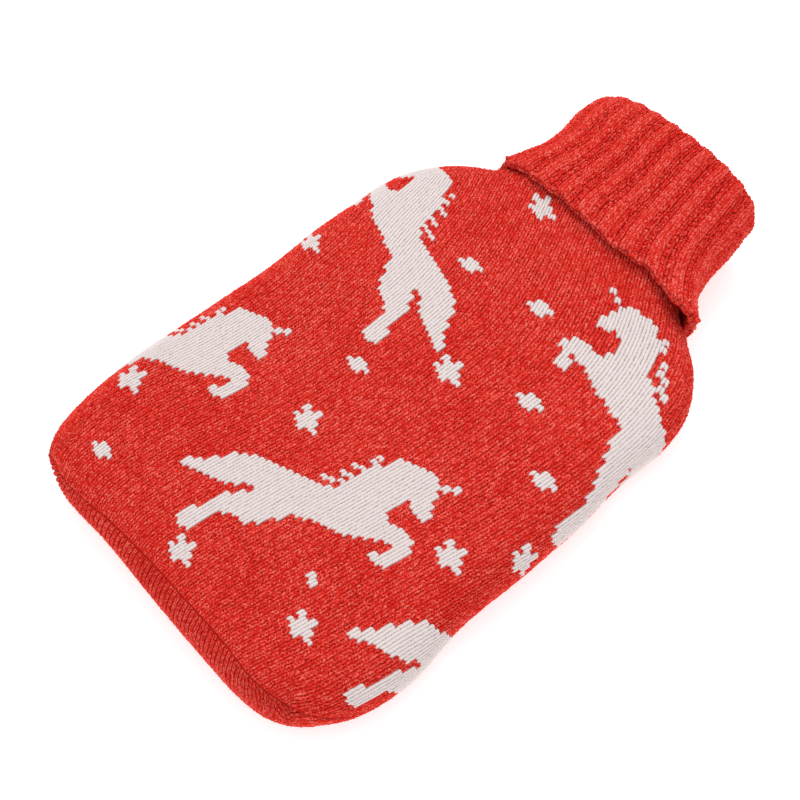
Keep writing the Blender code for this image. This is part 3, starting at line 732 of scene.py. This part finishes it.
def collar_wall():
    """Middle of the collar's wall and its outward direction: rows up the tube, over the fold and
    down to the hem, by columns round it. Between the layers the fold rises by
    FOLD_RISE sin(turn)^FOLD_ROUND."""
    angle = even_angles(np.asarray(TURNED_DOWN[5]), RIBS * RIB_STEPS)
    outer, tube = smooth_curve(TURNED_DOWN), smooth_curve(TUBE)
    y = np.linspace(TUBE[0][0], TUBE[-1][0], TUBE_ROWS)
    tube = np.stack([np.interp(y, tube[:, 0], column) for column in tube.T], 1)
    turn = (np.arange(1, FOLD_ROWS + 1) * np.pi / (FOLD_ROWS + 1))[:, None]
    share = (1 - np.cos(turn)) / 2
    fold = tube[-1] * (1 - share) + outer[-1] * share
    fold[:, :1] = outer[-1, 0] + FOLD_RISE * np.sin(turn) ** FOLD_ROUND
    reach = smooth_curve(HEM)
    hem = np.interp((np.degrees(angle) + 90) % 360 - 90, reach[:, 0], reach[:, 1])
    hem = hem + HEM_WAVE * (np.sin(7 * angle + 0.7) + np.cos(11 * angle) + 0.6 * np.sin(29 * angle))
    y = outer[-1, 0] + (hem[None, :] - outer[-1, 0]) * np.linspace(0, 1, HEM_ROWS + 1)[:, None]
    down = np.stack([np.interp(y, outer[:, 0], column) for column in outer.T], -1)
    inside = np.repeat(np.concatenate([tube, fold])[:, None], angle.size, axis=1)
    sections = np.concatenate([inside, down])
    spread = np.stack([even_angles(row.mean(axis=0), angle.size) for row in sections])
    rows = oval(sections, spread)
    low = np.clip((np.arange(len(rows)) - len(inside)) / HEM_ROWS * 2 - 1, 0, 1)
    for middle, width, outwards in HEM_LIFTS:
        lift = outwards * low[:, None] * np.exp(-((angle - middle) / width) ** 2)
        rows += lift[..., None] * [np.cos(middle), 0, np.sin(middle)]
    face = np.cross(np.roll(rows, -1, axis=1) - np.roll(rows, 1, axis=1), np.gradient(rows, axis=0))
    return rows, face / np.linalg.norm(face, axis=2)[..., None]


wall, wall_out = collar_wall()
rib = RIB_DEPTH * np.cos(np.arange(wall.shape[1]) * 2 * np.pi / RIB_STEPS)
raised = np.clip((np.arange(len(wall)) - TUBE_ROWS + 1) / FOLD_ROWS, TUBE_RIB, 1)[:, None]
outer_face = wall + wall_out * (RIB_WALL / 2 + rib * raised)[..., None]
ground_face = wall + wall_out * (RIB_WALL / 2 + rib * raised - COLLAR_GROUND_DEPTH)[..., None]
inner_face = wall - wall_out * (RIB_WALL / 2)
ground_face[0, :, 1] = inner_face[0, :, 1] = NECK_Y + SEAM_GAP
for skin in (outer_face, ground_face, inner_face):
    skin[..., 2] = np.maximum(skin[..., 2], SHEET_LEAST_Z)
loop = np.concatenate([ground_face, inner_face[::-1]])
number = np.arange(loop.shape[0] * loop.shape[1]).reshape(loop.shape[:2])
faces = grid_faces(np.concatenate([number, number[:1]]), around=True)
collar_ground = piece("collar_ground", loop, faces.tolist(), loop_shade)

COLLAR_WALES = RIBS * 4
COLLAR_COURSE = 0.0016
HEM_COURSES = 4            # of the bound-off edge, round the hem and up its inside
INSIDE_ROWS = 5            # rows of the wall's inner face that the hem's stitches can reach
BARE_ROWS = 4              # rows at the tube's foot, out of sight, that have no stitches
OVERLAP = 12               # columns repeated past each end, so that stitches can cross the join
rim_out = wall[-1] - wall[-2]
rim_out /= np.linalg.norm(rim_out, axis=1)[:, None]
rim = wall[-1] + rim_out * RIM_ROUND
skin = np.concatenate([outer_face, rim[None], inner_face[:-INSIDE_ROWS - 1:-1]])
skin_out = np.concatenate([wall_out, rim_out[None], -wall_out[:-INSIDE_ROWS - 1:-1]])
collar_fields = np.dstack([skin, skin_out])
lap = [collar_fields[:, -OVERLAP:], collar_fields, collar_fields[:, :OVERLAP]]
collar_fields = np.concatenate(lap, axis=1)
row_steps = np.linalg.norm(np.diff(skin, axis=0), axis=2).mean(axis=1)
mean_row = np.concatenate([[0], np.cumsum(row_steps)])
hem_row = mean_row[len(wall) - 1]
columns_a_wale = wall.shape[1] / COLLAR_WALES
last_course = int((hem_row - mean_row[BARE_ROWS]) / COLLAR_COURSE)


def on_collar(wale, course, up):
    """Place on the collar: course counts up from the hem along the wall, wale round it."""
    row = np.interp(hem_row - course * COLLAR_COURSE, mean_row, np.arange(len(mean_row)))
    column = OVERLAP + (wale * columns_a_wale) % wall.shape[1]
    at = bilinear(collar_fields, column, row)
    return at[..., :3] + at[..., 3:6] * up[..., None]


# Standard deviations from arm to arm, as the panels': size and place, across, along and up.
COLLAR_SIZE_VARIES = np.array([0.016, 0.024, 0.08])
COLLAR_PLACE_VARIES = [0.04, 0.12, 0.00009]


def jittered(shape, wale, course, wild):
    """The arms' shape at each stitch, with random size, place and height."""
    base = np.stack([shape, shape * [-1, 1, 1]])[None]
    jitter = rng.normal(0, 1, (len(wale), 2, 1, 4)) * wild
    grown = base * (1 + COLLAR_SIZE_VARIES * jitter[..., :1])
    grown = grown + jitter[..., 1:] * COLLAR_PLACE_VARIES
    return grown + np.stack([wale, course, wale * 0], 1)[:, None, None]


grid = np.meshgrid(np.arange(COLLAR_WALES), np.arange(-HEM_COURSES, last_course))
wale, course = (a.reshape(-1) + 0.0 for a in grid)
knit = (wale % 4 == 0) | (wale % 4 == 3) | (course < 1)
# A raised stitch's arm, shorter than the panels'. A purl bump lies across its column, as two
# short spindles end to end. A hem loop lies across too, fatter and proud.
#              across, along,    up,  wide, high
COLLAR_ARM = [(0.040, 1.05, -0.50, 0.00, 0.00),
              (0.150, 0.55, -0.20, 1.04, 0.66),
              (0.300, -0.25, -0.42, 0.94, 0.58),
              (0.450, -1.00, -0.95, 0.00, 0.00)]
PURL = [(-0.08, 0.30, -0.30, 0.00, 0.00),
        (0.10, 0.20, 0.05, 0.30, 0.54),
        (0.36, -0.15, -0.05, 0.30, 0.54),
        (0.62, -0.45, -0.45, 0.00, 0.00)]


def laid_across(shape, long):
    """An arm turned to lie across its column: its rings spread along it by long courses."""
    points = arm_points(shape)
    points[1:7, 1] += np.tile([long, 0, -long], 2)
    points[1:7, 0] = np.repeat([shape[1][0], shape[2][0]], 3)
    return points


# Name, which stitches, an arm's shape, its lift off the wall's face, and the mean of its tone: painted
# light on the raised knit stitches and the proud hem loops, painted shade on the sunk purl bumps.
COLLAR_KINDS = [
    ("collar_knit_stitches", knit, arm_points(COLLAR_ARM), -0.0002, 0.6),
    ("collar_purl_stitches", ~knit, laid_across(PURL, 0.84), -0.0001, -0.9),
    ("collar_hem_loops", np.abs(course) < 1, laid_across(PURL, 0.85), 0.0004, 1.0)]
COLLAR_WILD = 1.3
collar_stitches = []
for name, chosen, shape, lift, painted_light_and_shade in COLLAR_KINDS:
    grown = jittered(shape, wale[chosen] + 0.5, course[chosen], COLLAR_WILD)
    arms = on_collar(grown[..., 0], grown[..., 1], grown[..., 2] + lift)
    arms[..., 2] = np.maximum(arms[..., 2], LEAST_Z)
    # The mean tone of each kind is painted light and shade; around that mean the tone differs at random.
    collar_stitches.append(stitch_piece(name, arms, chenille, rng.normal(painted_light_and_shade, 1, (len(arms), 2))))
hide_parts("collar")
for made in [collar_ground] + collar_stitches:
    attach(made, "root")
